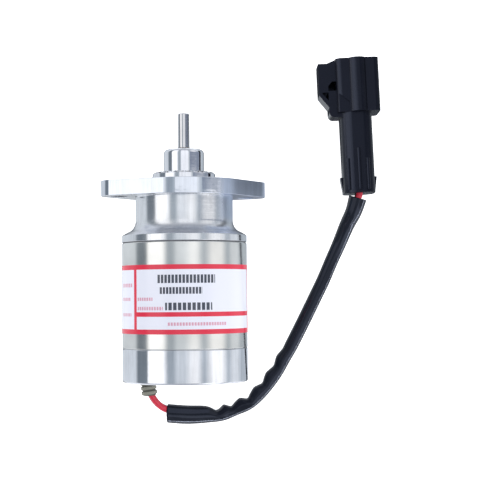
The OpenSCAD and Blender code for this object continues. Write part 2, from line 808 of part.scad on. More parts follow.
// Blade terminals: a round barrel in the shell and a blade in the hood
module terminal_pins() {
    color("khaki") on_bench() for (s = [-1, 1]) translate([0, s * pin_pitch / 2, 0]) {
        translate([0, 0, w_seal]) cylinder(d = terminal_d, h = w_floor - w_seal);
        translate([-blade_t / 2, -blade_w / 2, w_floor - over]) cube([blade_t, blade_w, blade_l + over]);
    }
}

mount_flange();
nose_guide();
front_bush();
housing_tube();
seam_gasket();
end_cap();
rating_label();
front_plate();
core_tube();
coil_bobbin();
coil_winding();
pole_piece();
pole_shim();
rear_bush();
bumper_washer();
return_spring();
output_shaft();
plunger();
plunger_clip();
lead_grommet();
red_lead();
black_lead();
lead_sleeve();
connector_shell();
seal_cover();
wire_seals();
terminal_pins();
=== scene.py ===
"""Dresses the packed engine governor actuator and sets it on a plain white studio stage.

The turned and moulded pieces that show are eased copies of the packed solids. The leads and their sleeve
are modelled here. Every piece gets a procedural finish.
"""

import math

import bmesh
import bpy
from bpy.props import FloatProperty, FloatVectorProperty, PointerProperty
from mathutils import Matrix, Vector
from mathutils.geometry import interpolate_bezier


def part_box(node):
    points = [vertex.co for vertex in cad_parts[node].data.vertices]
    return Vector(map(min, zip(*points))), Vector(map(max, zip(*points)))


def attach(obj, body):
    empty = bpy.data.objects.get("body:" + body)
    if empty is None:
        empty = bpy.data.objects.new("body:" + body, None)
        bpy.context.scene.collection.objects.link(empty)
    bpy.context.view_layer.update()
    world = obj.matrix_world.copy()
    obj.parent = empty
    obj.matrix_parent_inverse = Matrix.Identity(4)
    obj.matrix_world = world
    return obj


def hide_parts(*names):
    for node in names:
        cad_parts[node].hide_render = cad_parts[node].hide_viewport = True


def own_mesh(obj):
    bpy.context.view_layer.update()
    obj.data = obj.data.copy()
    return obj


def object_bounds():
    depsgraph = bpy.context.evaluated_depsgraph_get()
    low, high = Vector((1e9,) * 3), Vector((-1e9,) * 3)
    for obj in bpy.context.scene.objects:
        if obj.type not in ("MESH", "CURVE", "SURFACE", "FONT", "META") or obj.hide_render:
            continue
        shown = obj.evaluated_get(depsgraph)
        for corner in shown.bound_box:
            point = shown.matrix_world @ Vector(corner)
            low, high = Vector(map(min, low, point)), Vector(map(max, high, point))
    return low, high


bl_info = {
    "name": "Engine Governor Actuator",
    "version": (1, 0, 0),
    "blender": (4, 5, 0),
    "location": "3D View > Sidebar > Actuator",
    "description": "Finishes a packed governor actuator and sets its studio stage",
    "category": "Object",
}

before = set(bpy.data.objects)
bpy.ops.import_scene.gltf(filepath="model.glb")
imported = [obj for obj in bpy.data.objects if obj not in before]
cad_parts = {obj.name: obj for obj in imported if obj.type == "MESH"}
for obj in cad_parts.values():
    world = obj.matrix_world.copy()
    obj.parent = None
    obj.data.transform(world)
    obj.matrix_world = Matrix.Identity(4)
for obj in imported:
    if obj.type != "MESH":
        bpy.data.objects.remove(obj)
cad_box = [list(corner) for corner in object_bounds()]

MM = 0.001
UP = Vector((0, 0, 1))
BENCH = cad_box[0][2]

# Route of the sleeve in mm, as in the part's source: x, y and height above the bench of its middle,
# its width and its height.
SLEEVE_ROUTE = (
    (-7.5, -90.2, 12.1, 7.3, 6.8),
    (0, -91.1, 8.6, 7.3, 6.8),
    (8, -91.2, 5.6, 6.8, 6.6),
    (14, -91.1, 3.9, 5.8, 6.4),
    (19, -89.4, 3.1, 5.4, 6.1),
    (24, -87.3, 3.1, 5.4, 6.1),
    (28.2, -83.9, 3.1, 5.4, 6.1),
    (32.1, -79.5, 3.1, 5.4, 6.1),
    (35.6, -74.7, 3.1, 5.4, 6.1),
    (38.7, -69.3, 3.1, 5.4, 6.1),
    (41.9, -63.9, 3.1, 5.4, 6.1),
    (47, -54, 3.1, 5.4, 6.1),
    (51, -46, 3.1, 5.4, 6.1),
    (54.7, -38.5, 3.1, 5.4, 6.1),
    (58, -31, 3.1, 5.4, 6.1),
    (61.4, -23.5, 3.7, 5.6, 6.3),
    (64.3, -16.5, 5.8, 6, 7),
    (66.9, -11, 8.3, 6.6, 8.2),
    (68.6, -5.6, 9, 7.2, 9.2),
)
# Wrinkles on the inside of the sleeve's bend, in mm: how far along, how deep, and how long.
# A negative depth is a bulge.
SLEEVE_WRINKLES = (
    (20.4, 1.6, 2.6),
    (24.4, -0.8, 1.7),
    (27.4, 1.2, 1.5),
    (31.7, -0.8, 2.0),
    (35.0, 1.0, 1.6),
    (40.2, -0.7, 2.2),
    (44.0, 0.8, 1.7),
    (48.4, -0.6, 2.2),
    (52.7, 0.5, 1.8),
    (56.6, -0.4, 2.0),
    (60.4, 0.25, 1.8),
)
# How square the sleeve's section is, from 2 for an oval, and how far its seam stands out
SLEEVE_SQUARE = 2.6
SLEEVE_SEAM = 1.09
# The grommet's snout, in mm: its lean, its end, which way it points and the spacing of its ribs
SNOUT_LEAN = math.radians(8)
SNOUT_END = Vector((-14.185, -82.7, -7))
SNOUT_WAY = Vector((math.sin(SNOUT_LEAN), -math.cos(SNOUT_LEAN), 0))
RIB_STEP = 5.8 / 3
# The connector's back, in mm: its turn, its middle, which way the leads enter and how deep they go
CONNECTOR_TURN = math.radians(2.2)
CONNECTOR_BACK = Vector((69.05, -4, -15.1))
CONNECTOR_WAY = Vector((-math.sin(CONNECTOR_TURN), math.cos(CONNECTOR_TURN), 0))
SEAL_DEPTH = 9.2
# The two leads, in mm: half their pitch in the snout and in the seals, and how far inside the snout they
# start
SNOUT_HALF_PITCH = 1.4
SEAL_HALF_PITCH = 3
LEAD_INSIDE = 5
# The turned collar and nose, in metres, as in the part's source: the collar's radius, top and shoulder,
# the radius at which its bevel starts, the nose's radius and the rounding of its lip
COLLAR_R = 0.01215
COLLAR_TOP = 0.0034
COLLAR_SHOULDER = 0.0019
COLLAR_BEVEL_R = 0.00955
NOSE_R = 0.0078
LIP_ROUND = 0.001
# The bevel of the collar and the rounding of the lip that are shown
COLLAR_EDGE = 0.0006
LIP_SHOWN = 0.0016
# How near a vertex has to lie to count as on an edge
TINY = 0.00003
# Which way the sleeve's cut mouth faces
MOUTH_WAY = Vector((1, -0.02, 0.06))
# Rounding of the edges of small moulded pieces, and of thin or ground ones
SMALL_EASE = 0.0002
FINE_EASE = 0.0001
# Copies of solids: vertices nearer than this are merged, faces that turn by less are joined, and edges
# that turn by more are rounded
WELD = 2e-6
FLAT_TURN = math.radians(0.4)
EDGE_TURN = math.radians(32)
# A face larger than its neighbours by this many square metres alone sets the normals along its sides
LARGER_BY = 5e-7
# What the lamps face
LAMP_AIM = Vector((0.03, -0.06, -0.02))
# How blue the dark flags are
COOLNESS = 0.18
# Tint of the gloss that this cool light leaves on black pieces
COOL_GLOSS = "#c9d4f4"


def linear(hex_code):
    """Linear red, green and blue, and an alpha of one, of an sRGB hex colour."""
    channels = [int(hex_code[i : i + 2], 16) / 255 for i in (1, 3, 5)]
    return [c / 12.92 if c <= 0.04045 else ((c + 0.055) / 1.055) ** 2.4 for c in channels] + [1.0]


def colour_property(name, description, hex_code):
    """A colour setting whose default is an sRGB hex colour."""
    return FloatVectorProperty(
        name=name, description=description, subtype="COLOR", size=4, min=0, max=1, default=linear(hex_code)
    )


class StageSettings(bpy.types.PropertyGroup):
    """Camera and light of the studio stage."""

    camera_at: FloatVectorProperty(
        name="Camera", description="Where the camera hangs", subtype="TRANSLATION", unit="LENGTH",
        default=(0.0213, -0.0439, 0.502),
    )
    camera_tilt: FloatProperty(
        name="Tilt", description="Lean of the camera towards the shaft's end", subtype="ANGLE",
        default=math.radians(2.42),
    )
    camera_roll: FloatProperty(
        name="Roll", description="Turn of the camera about the upright", subtype="ANGLE",
        default=math.radians(-0.5),
    )
    lens: FloatProperty(name="Lens", description="Focal length", unit="CAMERA", default=97.5)
    floor_colour: colour_property("Floor", "Colour of the bench", "#ffffff")
    fill_power: FloatProperty(
        name="Fill", description="Power of the soft overhead light", unit="POWER", default=3.0
    )
    front_power: FloatProperty(
        name="Front", description="Power of the soft box at the front right", unit="POWER", default=0.9
    )
    side_power: FloatProperty(
        name="Side", description="Power of the soft box for the connector", unit="POWER", default=2.5
    )
    strip_power: FloatProperty(
        name="Strip", description="Power of the low strip light for the sleeve", unit="POWER", default=14.0
    )


class MetalSettings(bpy.types.PropertyGroup):
    """Edges and colours of the metal pieces."""

    ease: FloatProperty(
        name="Edge ease", description="Rounding of machined edges", unit="LENGTH", default=0.00025
    )
    aluminium: colour_property("Aluminium", "Machined aluminium of the flange", "#e8eaee")
    polished: colour_property("Polished", "Polished aluminium of the nose and the cap", "#eceef4")
    zinc: colour_property("Zinc", "Zinc plate on the tube", "#e4e4e2")
    shaft: colour_property("Shaft", "Ground steel of the shaft", "#dadadd")
    iron: colour_property("Iron", "Soft iron of the magnetic circuit", "#8f9196")


class LabelSettings(bpy.types.PropertyGroup):
    """Sizes and colours of the printed label."""

    band: FloatProperty(
        name="Band", description="Height of the coloured bands", unit="LENGTH", default=0.0018
    )
    bar_angle: FloatProperty(
        name="Bar angle", description="Place of the upright bar, from the top of the tube",
        subtype="ANGLE", default=math.radians(-47),
    )
    film: colour_property("Film", "White film of the label", "#ecedf8")
    ink: colour_property("Ink", "Red ink of the bands", "#e0344c")
    dark_ink: colour_property("Dark ink", "Ink of the large blocks", "#4a4e5a")
    pale_ink: colour_property("Pale ink", "Ink of the small blocks", "#dba3b6")


class LeadSettings(bpy.types.PropertyGroup):
    """Sizes and colours of the leads, their sleeve and the grommet."""

    lead_diameter: FloatProperty(
        name="Lead", description="Diameter of each lead", unit="LENGTH", default=0.0026
    )
    sleeve_wall: FloatProperty(
        name="Sleeve wall", description="Wall of the sleeve", unit="LENGTH", default=0.0004
    )
    red: colour_property("Red", "Insulation of the upper lead", "#da2a44")
    black: colour_property("Black", "Insulation of the lower lead", "#1a1a1d")
    sleeve: colour_property("Sleeve", "Vinyl of the sleeve", "#0f1116")
    grommet: colour_property("Grommet", "Rubber of the grommet", "#8f8e82")


class ConnectorSettings(bpy.types.PropertyGroup):
    """Edges and colour of the connector."""

    ease: FloatProperty(
        name="Edge ease", description="Rounding of moulded edges", unit="LENGTH", default=0.0005
    )
    nylon: colour_property("Nylon", "Moulded nylon of the shell", "#0b0d15")


def add(tree, kind, inputs=None, **settings):
    """Adds a shader node with its settings, and links or sets its inputs."""
    node = tree.nodes.new("ShaderNode" + kind)
    for key, value in settings.items():
        setattr(node, key, value)
    for key, value in (inputs or {}).items():
        if isinstance(value, bpy.types.NodeSocket):
            tree.links.new(value, node.inputs[key])
        else:
            node.inputs[key].default_value = value
    return node


def bare_material(name, sockets):
    """A new material with only its shader, whose sockets hold the constants."""
    material = bpy.data.materials.new(name)
    material.use_nodes = True
    tree = material.node_tree
    tree.nodes.clear()
    shader = add(tree, "BsdfPrincipled", sockets)
    add(tree, "OutputMaterial", {"Surface": shader.outputs[0]})
    return material, tree, shader


def link(tree, output, node, name):
    """Links an output to a node's named input."""
    tree.links.new(output, node.inputs[name])


def turned_metal(name, colour, rough, line_mm, depth_mm, zones=()):
    """A metal turned on a lathe: rings about the shaft break up its gloss, and streaks along it and
    smudges from handling dull it. Real rings are finer, and are drawn coarse enough to show.

    Each zone is an axis, the mm over which it sets in, its own roughness and its own colour.
    """
    material, tree, shader = bare_material(name, {"Metallic": 1.0})
    place = add(tree, "TexCoord").outputs["Object"]
    level = add(tree, "VectorMath", {0: place, 1: (1, 0, 1)}, operation="MULTIPLY")
    radius = add(tree, "VectorMath", {0: level.outputs[0]}, operation="LENGTH")
    axes = add(tree, "SeparateXYZ", {0: place})
    along = add(tree, "Math", {0: axes.outputs["Y"], 1: radius.outputs["Value"]}, operation="ADD")
    rings = add(
        tree, "TexNoise", {"W": along.outputs[0], "Scale": 1 / (line_mm * MM), "Detail": 3.0},
        noise_dimensions="1D",
    )
    smudge = add(tree, "TexNoise", {"Vector": place, "Scale": 1 / (9 * MM), "Detail": 2.0})
    drawn = add(tree, "VectorMath", {0: place, 1: (1, 0.07, 1)}, operation="MULTIPLY")
    streaks = add(tree, "TexNoise", {"Vector": drawn.outputs[0], "Scale": 1 / (1.2 * MM), "Detail": 2.0})
    marks = add(tree, "Math", {0: smudge.outputs["Fac"], 1: streaks.outputs["Fac"]}, operation="ADD")
    tone = add(tree, "MapRange", {0: marks.outputs[0], 1: 0.7, 2: 1.3, 3: 0.86, 4: 1.02})
    dull = add(
        tree, "MapRange", {0: rings.outputs["Fac"], 1: 0.25, 2: 0.75, 3: rough * 0.75, 4: rough * 1.25}
    )
    gloss = dull.outputs[0]
    metal = colour
    for axis, start, end, zone_rough, zone_colour in zones:
        share = add(
            tree, "MapRange", {0: axes.outputs[axis], 1: start * MM, 2: end * MM},
            interpolation_type="SMOOTHSTEP",
        ).outputs[0]
        gloss = add(tree, "Mix", {0: share, 2: gloss, 3: zone_rough}).outputs[0]
        metal = add(tree, "Mix", {0: share, 6: metal, 7: zone_colour}, data_type="RGBA").outputs[2]
    bare = metal if zones else colour[:3]
    paint = add(tree, "VectorMath", {0: bare, "Scale": tone.outputs[0]}, operation="SCALE")
    ripple = add(tree, "TexNoise", {"Vector": place, "Scale": 1 / (2.4 * MM), "Detail": 1.0})
    wave = add(tree, "Bump", {"Height": ripple.outputs["Fac"], "Strength": 0.5, "Distance": 0.02 * MM})
    bump = add(
        tree, "Bump",
        {
            "Height": rings.outputs["Fac"], "Strength": 0.5, "Distance": depth_mm * MM,
            "Normal": wave.outputs[0],
        },
    )
    link(tree, paint.outputs[0], shader, "Base Color")
    link(tree, gloss, shader, "Roughness")
    link(tree, bump.outputs[0], shader, "Normal")
    return material


def grained(name, colour, rough, grain_mm, depth_mm, sockets):
    """A moulded, plated or extruded surface: a grain, drawn coarse enough to show, with a slight change of
    tone and gloss."""
    material, tree, shader = bare_material(name, sockets)
    place = add(tree, "TexCoord").outputs["Object"]
    grain = add(tree, "TexNoise", {"Vector": place, "Scale": 1 / (grain_mm * MM), "Detail": 3.0})
    cloud = add(tree, "TexNoise", {"Vector": place, "Scale": 1 / (14 * MM), "Detail": 2.0})
    tone = add(tree, "MapRange", {0: cloud.outputs["Fac"], 1: 0.3, 2: 0.7, 3: 0.88, 4: 1.08})
    paint = add(tree, "VectorMath", {0: colour[:3], "Scale": tone.outputs[0]}, operation="SCALE")
    dull = add(
        tree, "MapRange", {0: cloud.outputs["Fac"], 1: 0.3, 2: 0.7, 3: rough * 0.85, 4: rough * 1.15}
    )
    bump = add(
        tree, "Bump", {"Height": grain.outputs["Fac"], "Strength": 0.5, "Distance": depth_mm * MM}
    )
    link(tree, paint.outputs[0], shader, "Base Color")
    link(tree, dull.outputs[0], shader, "Roughness")
    link(tree, bump.outputs[0], shader, "Normal")
    return material


def shown_piece(bm, name, corner):
    """Makes a smooth piece of a bmesh, with a crease where its faces turn by more than the corner."""
    mesh = bpy.data.meshes.new(name)
    bm.to_mesh(mesh)
    bm.free()
    mesh.shade_smooth()
    mesh.set_sharp_from_angle(angle=math.radians(corner))
    piece = bpy.data.objects.new(name, mesh)
    bpy.context.scene.collection.objects.link(piece)
    return piece


def eased_copy(node, name, ease, steps=2, reshape=None):
    """A copy of a packed solid with its sharp edges rounded, which then stands for the solid.

    Before the rounding, reshape may move the copy's vertices.
    """
    bm = bmesh.new()
    bm.from_mesh(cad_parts[node].data)
    bmesh.ops.remove_doubles(bm, verts=bm.verts, dist=WELD)
    bmesh.ops.dissolve_limit(bm, angle_limit=FLAT_TURN, verts=bm.verts, edges=bm.edges)
    if reshape:
        reshape(bm)
    sharp = [e for e in bm.edges if e.is_manifold and e.calc_face_angle() > EDGE_TURN]
    if ease > 0:
        bmesh.ops.bevel(
            bm, geom=sharp, offset=ease, offset_type="OFFSET", affect="EDGES", segments=steps,
            profile=0.5, clamp_overlap=True, material=-1,
        )
    piece = shown_piece(bm, name, 40)
    weigh = piece.modifiers.new("Even normals", "WEIGHTED_NORMAL")
    weigh.keep_sharp = True
    # Beside a large face the narrow easing doesn't count, so that straight walls shade straight
    weigh.weight = 100
    weigh.thresh = LARGER_BY
    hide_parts(node)
    return piece


def dress(piece, material, body=None):
    """Gives a piece its finish and, unless it is a packed solid, its body and material slot."""
    piece.data.materials.clear()
    piece.data.materials.append(material)
    if body:
        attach(piece, body)


def light_only(lamp, pieces):
    """Flags a lamp so that it lights only the given pieces."""
    group = bpy.data.collections.new("lit_by_" + lamp)
    for piece in pieces:
        group.objects.link(piece)
    bpy.data.objects[lamp].light_linking.receiver_collection = group


def smooth_line(points, steps):
    """Points along a smooth line through the given ones."""
    last = len(points) - 1
    line = [points[0]]
    for i in range(last):
        before = points[max(i - 1, 0)]
        after = points[min(i + 2, last)]
        leave = points[i] + (points[i + 1] - before) / 6
        reach = points[i + 1] - (after - points[i]) / 6
        line += interpolate_bezier(points[i], leave, reach, points[i + 1], steps + 1)[1:]
    return line


def straight_bend(start, way, end, end_way, steps):
    """Points of a bend that leaves its start and reaches its end in the given directions."""
    handle = 0.4 * (end - start).length
    return interpolate_bezier(start, start + way * handle, end - end_way * handle, end, steps + 1)


def smooth_step(value, start, end):
    """Rises smoothly from zero at the start to one at the end."""
    share = min(max((value - start) / (end - start), 0), 1)
    return share * share * (3 - 2 * share)


def directions(line):
    """The direction of a line at each of its points."""
    last = len(line) - 1
    return [(line[min(i + 1, last)] - line[max(i - 1, 0)]).normalized() for i in range(last + 1)]


def sleeve_middle():
    """Stations along the sleeve in mm: how far along, the middle, the side, the up and the onward
    direction; and the width and height at each."""
    centres = [Vector((x, y, BENCH / MM + h)) for x, y, h, w, t in SLEEVE_ROUTE]
    sizes = [Vector((w, t, 0)) for x, y, h, w, t in SLEEVE_ROUTE]
    middle = smooth_line(centres, 9)
    ways = directions(middle)
    along = 0.0
    stations = []
    for i, centre in enumerate(middle):
        along += (centre - middle[max(i - 1, 0)]).length
        # The mouth is cut upright, and the rings turn square to the line over the next 8 mm
        way = MOUTH_WAY.lerp(ways[i], smooth_step(along, 0, 8)).normalized()
        side = way.cross(UP).normalized()
        stations.append((along, centre, side, side.cross(way), way))
    return stations, smooth_line(sizes, 9)


class ACTUATOR_OT_stage(bpy.types.Operator):
    """Hangs the camera over the part, and sets the white bench and the soft light"""

    bl_idname = "actuator.stage"
    bl_label = "Stage"

    def execute(self, context):
        settings = context.scene.actuator_stage
        self.camera(context.scene, settings)
        self.bench(settings)
        self.light(settings)
        self.surroundings(context.scene)
        return {"FINISHED"}

    def camera(self, scene, settings):
        camera = bpy.data.objects.new("camera", bpy.data.cameras.new("camera"))
        camera.data.sensor_width = 36
        camera.data.lens = settings.lens
        camera.location = settings.camera_at
        camera.rotation_euler = (settings.camera_tilt, 0, settings.camera_roll)
        scene.collection.objects.link(camera)
        scene.camera = camera
        scene.view_settings.view_transform = "Standard"

    def bench(self, settings):
        bm = bmesh.new()
        bmesh.ops.create_grid(
            bm, x_segments=1, y_segments=1, size=3, matrix=Matrix.Translation((0, 0, BENCH))
        )
        floor = shown_piece(bm, "floor", 30)
        # Back-lit white acrylic, which shows no shadow
        material = bare_material(
            "back_lit_acrylic",
            {
                "Base Color": settings.floor_colour,
                "Roughness": 0.6,
                "Emission Color": settings.floor_colour,
                "Emission Strength": 1.0,
            },
        )[0]
        floor.data.materials.append(material)
        floor.visible_glossy = False

    def light(self, settings):
        self.lamp("overhead_light", settings.fill_power, (1.2, 1.2), (0.1, 0.05, 1.1), False)
        # A weak soft box at the front right lifts the sides that face it
        self.lamp("front_box", settings.front_power, (0.4, 0.6), (0.54, -0.5, 0.37), True)
        # A soft box at the left is flagged off the metal, and lights only the connector
        self.lamp("connector_box", settings.side_power, (0.35, 0.9), (-0.35, 0.02, 0.26), True)
        # A low strip light, flagged in the same way, draws a thin line along the sleeve's outer side
        self.lamp("sleeve_strip", settings.strip_power, (1.6, 0.1), (0.62, -0.86, 0.05), True)

    def lamp(self, name, power, size, place, in_gloss):
        """A soft box that faces the middle of the part."""
        lamp = bpy.data.objects.new(name, bpy.data.lights.new(name, "AREA"))
        lamp.data.shape = "RECTANGLE"
        lamp.data.size, lamp.data.size_y = size
        lamp.data.energy = power
        lamp.location = place
        lamp.rotation_euler = (LAMP_AIM - lamp.location).to_track_quat("-Z", "Y").to_euler()
        lamp.visible_glossy = in_gloss
        bpy.context.scene.collection.objects.link(lamp)

    def surroundings(self, scene):
        """Long soft boxes and grey flags beside the part, as bands about the shaft's direction.

        Where they end is fitted to what the neck, the plate and the nose reflect in the main view.
        """
        # Half the angle from straight up at which each starts and ends, and its grey tone
        bands = {
            "left wall": (-90, -50, 0.66),
            "left flag": (-46.5, -35.5, 0.2),
            "left box": (-33.8, -19, 1.15),
            "camera flag": (-14.5, -9.5, 0.38),
            "overhead box, near": (-6, 1, 0.64),
            "overhead box, far": (8, 12, 0.95),
            "thin flag": (17.5, 19.5, 0.48),
            "right box": (27, 36.5, 1.02),
            "second thin flag": (43, 45, 0.5),
            "bench": (49, 57, 0.74),
            "bench in shade": (63, 90, 0.47),
        }
        world = bpy.data.worlds.new("studio")
        world.use_nodes = True
        scene.world = world
        tree = world.node_tree
        tree.nodes.clear()
        axes = add(tree, "SeparateXYZ", {0: add(tree, "TexCoord").outputs["Generated"]})
        angle = add(tree, "Math", {0: axes.outputs["X"], 1: axes.outputs["Z"]}, operation="ARCTAN2")
        turn = add(tree, "MapRange", {0: angle.outputs[0], 1: -math.pi, 2: math.pi, 3: 0.0, 4: 1.0})
        ramp = add(tree, "ValToRGB", {0: turn.outputs[0]})
        stops = ramp.color_ramp.elements
        while len(stops) > 1:
            stops.remove(stops[0])
        stops[0].position = 1.0
        for start, end, tone in bands.values():
            cool = 1 - COOLNESS * max(1 - tone, 0)
            for half_angle in (start, min(end, 89.9)):
                stops.new(half_angle / 180 + 0.5).color = (tone * cool, tone, tone * (2 - cool), 1)
        stops[len(stops) - 1].color = stops[len(stops) - 2].color
        # How far a direction leans along the shaft where the view passes the neck and the flange
        neck_end = (0.0735, 0.078)
        flange_end = (0.088, 0.102)
        # Past the neck the overhead box is brighter
        past_neck = add(
            tree, "MapRange", {0: axes.outputs["Y"], 1: neck_end[0], 2: neck_end[1]},
            interpolation_type="SMOOTHSTEP",
        )
        over = add(tree, "Math", {0: turn.outputs[0], 1: 0.5 + 3 / 180, 2: 10 / 180}, operation="COMPARE")
        bright = add(tree, "Math", {0: past_neck.outputs[0], 1: over.outputs[0]}, operation="MULTIPLY")
        boxes = add(
            tree, "Mix", {0: bright.outputs[0], 6: ramp.outputs[0], 7: linear("#f4f6fa")}, data_type="RGBA"
        )
        # The right box fades by this share past the neck, and stops short of the nose, where it leaves a
        # dark gap
        neck_share = 0.7
        past_flange = add(
            tree, "MapRange",
            {0: axes.outputs["Y"], 1: flange_end[0], 2: flange_end[1], 3: 0.0, 4: 1 - neck_share},
            interpolation_type="SMOOTHSTEP",
        )
        past_end = add(
            tree, "Math", {0: past_neck.outputs[0], 1: neck_share, 2: past_flange.outputs[0]},
            operation="MULTIPLY_ADD",
        )
        beside = add(
            tree, "Math", {0: turn.outputs[0], 1: 0.5 + 37 / 180, 2: 19 / 180}, operation="COMPARE"
        )
        dark = add(tree, "Math", {0: past_end.outputs[0], 1: beside.outputs[0]}, operation="MULTIPLY")
        fade = add(tree, "MapRange", {0: axes.outputs["Y"], 1: 0.16, 2: 0.34, 3: 1.0, 4: 0.2})
        gap = add(tree, "Math", {0: dark.outputs[0], 1: fade.outputs[0]}, operation="MULTIPLY")
        lit = add(
            tree, "Mix", {0: gap.outputs[0], 6: boxes.outputs[2], 7: linear("#7c8494")}, data_type="RGBA"
        )
        # Both ends of the room are plain grey above the bench, and the bench is white there
        low = add(
            tree, "MapRange", {0: axes.outputs["Z"], 1: 0.05, 2: -0.2}, interpolation_type="SMOOTHSTEP"
        )
        ends = add(
            tree, "Mix", {0: low.outputs[0], 6: linear("#a9adb5"), 7: linear("#f2f4f8")}, data_type="RGBA"
        )
        rear = add(
            tree, "MapRange", {0: axes.outputs["Y"], 1: 0.55, 2: 0.9}, interpolation_type="SMOOTHSTEP"
        )
        front = add(
            tree, "MapRange", {0: axes.outputs["Y"], 1: -0.2, 2: -0.38}, interpolation_type="SMOOTHSTEP"
        )
        end_share = add(tree, "Math", {0: rear.outputs[0], 1: front.outputs[0]}, operation="ADD")
        room = add(
            tree, "Mix", {0: end_share.outputs[0], 6: lit.outputs[2], 7: ends.outputs[2]}, data_type="RGBA"
        )
        # Straight below, the bench is in the shade of the part towards both of its ends
        away = add(tree, "Math", {0: axes.outputs["Y"]}, operation="ABSOLUTE")
        to_ends = add(
            tree, "MapRange", {0: away.outputs[0], 1: 0.075, 2: 0.095}, interpolation_type="SMOOTHSTEP"
        )
        below = add(
            tree, "MapRange", {0: axes.outputs["Z"], 1: -0.85, 2: -0.93}, interpolation_type="SMOOTHSTEP"
        )
        shade = add(tree, "Math", {0: to_ends.outputs[0], 1: below.outputs[0]}, operation="MULTIPLY")
        room = add(
            tree, "Mix", {0: shade.outputs[0], 6: room.outputs[2], 7: linear("#363a42")}, data_type="RGBA"
        )
        white = add(tree, "Background", {"Color": (1, 1, 1, 1), "Strength": 1.0})
        studio = add(tree, "Background", {"Color": room.outputs[2], "Strength": 1.18})
        seen = add(tree, "LightPath").outputs["Is Camera Ray"]
        both = add(tree, "MixShader", {0: seen, 1: studio.outputs[0], 2: white.outputs[0]})
        add(tree, "OutputWorld", {"Surface": both.outputs[0]})


class ACTUATOR_OT_connector(bpy.types.Operator):
    """Eases the moulded connector shell and its seal cover, and finishes the terminals and seals"""

    bl_idname = "actuator.connector"
    bl_label = "Connector"

    def execute(self, context):
        settings = context.scene.actuator_connector
        # Black glass-filled nylon: satin, with the faint grain of a sparked mould
        nylon = grained(
            "moulded_nylon", settings.nylon, rough=0.24, grain_mm=0.5, depth_mm=0.012,
            sockets={"IOR": 1.46, "Specular IOR Level": 0.24, "Specular Tint": linear(COOL_GLOSS)},
        )
        shell = eased_copy("connector_shell", "connector_housing", settings.ease, 3)
        dress(shell, nylon, "housing")
        cover = eased_copy("seal_cover", "connector_cover", SMALL_EASE)
        dress(cover, nylon, "housing")
        light_only("connector_box", (shell, cover))
        # Tinned brass: a soft white metal with faint drawing marks
        tin = grained(
            "tinned_brass", linear("#cfcbc0"), rough=0.28, grain_mm=0.6, depth_mm=0.005,
            sockets={"Metallic": 1.0},
        )
        dress(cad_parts["terminal_pins"], tin)
        # Silicone wire seals: matt rubber
        seal = grained(
            "silicone_seal", linear("#3a3d42"), rough=0.65, grain_mm=0.5, depth_mm=0.01,
            sockets={"IOR": 1.43},
        )
        dress(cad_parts["wire_seals"], seal)
        return {"FINISHED"}


